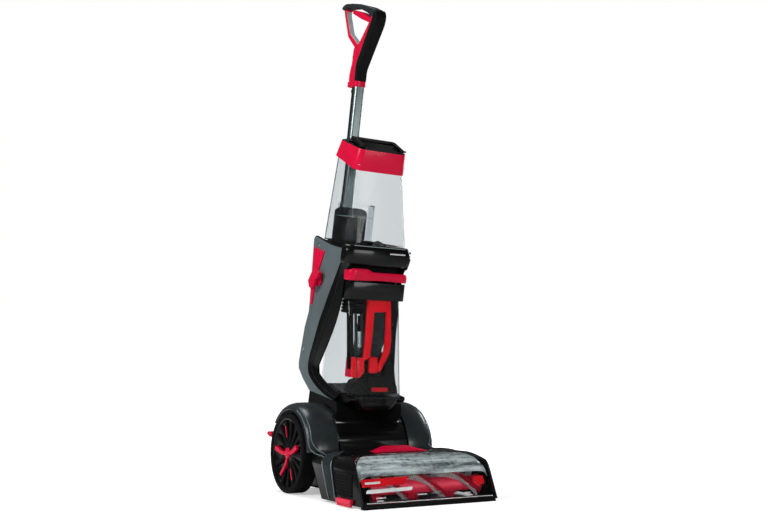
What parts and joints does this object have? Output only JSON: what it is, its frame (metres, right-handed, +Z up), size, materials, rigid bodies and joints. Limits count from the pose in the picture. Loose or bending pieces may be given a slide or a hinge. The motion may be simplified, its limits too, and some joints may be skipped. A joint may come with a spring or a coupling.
{
  "type": "upright carpet washer",
  "caption": "Upright carpet washer with a powered brush foot, two clear lift-out tanks on a reclining body, and a loop handle on a slim pole.",
  "frame": {"origin": "on the floor, under the middle of the bounding box", "axes": "+Z up along the standing height, -Y towards the nozzle at the front, +X to the machine's left as seen from the front"},
  "size_m": [0.316, 0.436, 1.102],
  "materials": {
    "black_plastic": "semi-gloss moulded",
    "matt_plastic": "fine spark texture",
    "soft_grip": "soft-touch",
    "titanium_plastic": "metallic flake",
    "red_plastic": "gloss",
    "bristle": "nylon bristle",
    "tyre": "moulded tread",
    "clear_plastic": "clear tinted",
    "pole_metal": "satin anodised",
    "motor_metal": "cast and machined",
    "steel": "bright",
    "belt": "ribbed"
  },
  "bodies": {
    "foot": {"foot_chassis": "matt_plastic", "foot_cover": "black_plastic", "pivot_drum": "black_plastic", "nozzle_frame": "matt_plastic", "fender_left": "titanium_plastic", "fender_right": "titanium_plastic", "foot_trims": "titanium_plastic", "side_grilles": "matt_plastic", "edge_brushes": "bristle", "wheel_axles": "steel", "brush_motor": "motor_metal", "drive_belts": "belt", "suction_motor": "motor_metal", "spray_bar": "matt_plastic", "foot_screws": "steel"},
    "wheel_left": {"wheel_left_tyre": "tyre", "wheel_left_hub": "matt_plastic", "wheel_left_insert": "red_plastic"},
    "wheel_right": {"wheel_right_tyre": "tyre", "wheel_right_hub": "matt_plastic", "wheel_right_insert": "red_plastic"},
    "front_brush_body": {"front_brush": "bristle"},
    "rear_brush_body": {"rear_brush": "bristle"},
    "motor_pulley_body": {"motor_pulley": "motor_metal"},
    "nozzle": {"nozzle_window": "clear_plastic"},
    "latch": {"nozzle_latch": "red_plastic"},
    "power_pedal_body": {"power_pedal": "red_plastic"},
    "recline_pedal_body": {"recline_pedal": "red_plastic"},
    "rollers": {"front_rollers": "matt_plastic"},
    "fan": {"fan_impeller": "motor_metal"},
    "upright": {"cowl": "black_plastic", "side_frame_left": "titanium_plastic", "side_frame_right": "titanium_plastic", "tank_surround": "black_plastic", "shelf_band": "black_plastic", "shelf_deck": "matt_plastic", "pole_socket": "black_plastic", "water_pump": "matt_plastic", "side_trim": "red_plastic", "cord_gland": "matt_plastic", "handle_pole": "pole_metal", "handle_grip": "soft_grip", "handle_frame": "matt_plastic", "handle_inner": "red_plastic", "upright_screws": "steel"},
    "hook": {"cord_hook": "red_plastic"},
    "trigger_body": {"trigger": "red_plastic"},
    "rod": {"trigger_rod": "steel"},
    "button": {"handle_button": "red_plastic"},
    "clean_tank": {"clean_tank_shell": "clear_plastic", "clean_tank_collar": "red_plastic", "clean_tank_cap": "black_plastic", "clean_tank_valve": "matt_plastic"},
    "clean_handle": {"clean_tank_handle": "black_plastic"},
    "dirty_tank": {"dirty_tank_shell": "clear_plastic", "dirty_tank_lid": "black_plastic", "separator": "matt_plastic", "float_cage": "red_plastic"},
    "float_body": {"float": "red_plastic"},
    "dirty_handle": {"dirty_tank_handle": "red_plastic"}
  },
  "joints": [
    {"name": "recline", "type": "hinge", "parent": "foot", "child": "upright", "pos_m": [0, 0.106, 0.082], "axis": [-1, 0, 0], "range_deg": [0, 55]},
    {"name": "wheel_left_spin", "type": "hinge", "parent": "foot", "child": "wheel_left", "pos_m": [0, 0.106, 0.082], "axis": [1, 0, 0], "continuous": true},
    {"name": "wheel_right_spin", "type": "hinge", "parent": "foot", "child": "wheel_right", "pos_m": [0, 0.106, 0.082], "axis": [1, 0, 0], "continuous": true},
    {"name": "rear_brush_spin", "type": "hinge", "parent": "foot", "child": "rear_brush_body", "pos_m": [0, -0.109, 0.031], "axis": [1, 0, 0], "continuous": true},
    {"name": "front_brush_spin", "type": "hinge", "parent": "foot", "child": "front_brush_body", "pos_m": [0, -0.166, 0.031], "axis": [1, 0, 0], "continuous": true},
    {"name": "motor_pulley_spin", "type": "hinge", "parent": "foot", "child": "motor_pulley_body", "pos_m": [0, -0.054, 0.062], "axis": [1, 0, 0], "continuous": true},
    {"name": "fan_spin", "type": "hinge", "parent": "foot", "child": "fan", "pos_m": [0, 0.106, 0.082], "axis": [1, 0, 0], "continuous": true},
    {"name": "roller_spin", "type": "hinge", "parent": "foot", "child": "rollers", "pos_m": [0, -0.044, 0.009], "axis": [1, 0, 0], "continuous": true},
    {"name": "nozzle_lift", "type": "slide", "parent": "foot", "child": "nozzle", "axis": [0, 0, 1], "range_m": [0, 0.06]},
    {"name": "nozzle_latch_slide", "type": "slide", "parent": "foot", "child": "latch", "axis": [0, 1, 0], "range_m": [0, 0.008], "stiffness_N_per_m": 300, "springref_m": -0.004},
    {"name": "power_pedal_press", "type": "hinge", "parent": "foot", "child": "power_pedal_body", "pos_m": [-0.133, 0.2, 0.117], "axis": [-1, 0, 0], "range_deg": [0, 8], "stiffness_Nm_per_rad": 0.5, "springref_deg": -8.59},
    {"name": "recline_pedal_press", "type": "hinge", "parent": "foot", "child": "recline_pedal_body", "pos_m": [0.133, 0.2, 0.117], "axis": [-1, 0, 0], "range_deg": [0, 8], "stiffness_Nm_per_rad": 0.5, "springref_deg": -8.59},
    {"name": "cord_hook_swivel", "type": "hinge", "parent": "upright", "child": "hook", "pos_m": [-0.09, 0.10703, 0.45231], "axis": [1, 0, 0], "range_deg": [0, 180]},
    {"name": "trigger_pull", "type": "hinge", "parent": "upright", "child": "trigger_body", "pos_m": [0, 0.08682, 1.07164], "axis": [-1, 0, 0], "range_deg": [0, 4], "stiffness_Nm_per_rad": 0.6, "springref_deg": -17.19},
    {"name": "trigger_rod_slide", "type": "slide", "parent": "upright", "child": "rod", "axis": [0, 0.2079, -0.9781], "range_m": [0, 0.005], "stiffness_N_per_m": 42, "springref_m": -0.004},
    {"name": "button_press", "type": "slide", "parent": "upright", "child": "button", "axis": [0, -0.9781, -0.2079], "range_m": [0, 0.0025], "stiffness_N_per_m": 300, "springref_m": -0.002},
    {"name": "clean_tank_lift", "type": "slide", "parent": "upright", "child": "clean_tank", "axis": [0, -0.2079, 0.9781], "range_m": [0, 0.12]},
    {"name": "clean_handle_fold", "type": "hinge", "parent": "clean_tank", "child": "clean_handle", "pos_m": [0, -0.03038, 0.72437], "axis": [1, 0, 0], "range_deg": [0, 90]},
    {"name": "dirty_tank_slide", "type": "slide", "parent": "upright", "child": "dirty_tank", "axis": [0, -0.9781, -0.2079], "range_m": [0, 0.15]},
    {"name": "float_rise", "type": "slide", "parent": "dirty_tank", "child": "float_body", "axis": [0, -0.2079, 0.9781], "range_m": [0, 0.03]},
    {"name": "dirty_handle_tilt", "type": "hinge", "parent": "dirty_tank", "child": "dirty_handle", "pos_m": [0, -0.0113, 0.44147], "axis": [1, 0, 0], "range_deg": [0, 10], "stiffness_Nm_per_rad": 1, "springref_deg": -17.19}
  ],
  "couplings": [
    {"joint": "front_brush_spin", "follows": "rear_brush_spin", "ratio": 1},
    {"joint": "motor_pulley_spin", "follows": "rear_brush_spin", "ratio": 1.8333},
    {"joint": "trigger_rod_slide", "follows": "trigger_pull", "m_per_rad": 0.068}
  ]
}
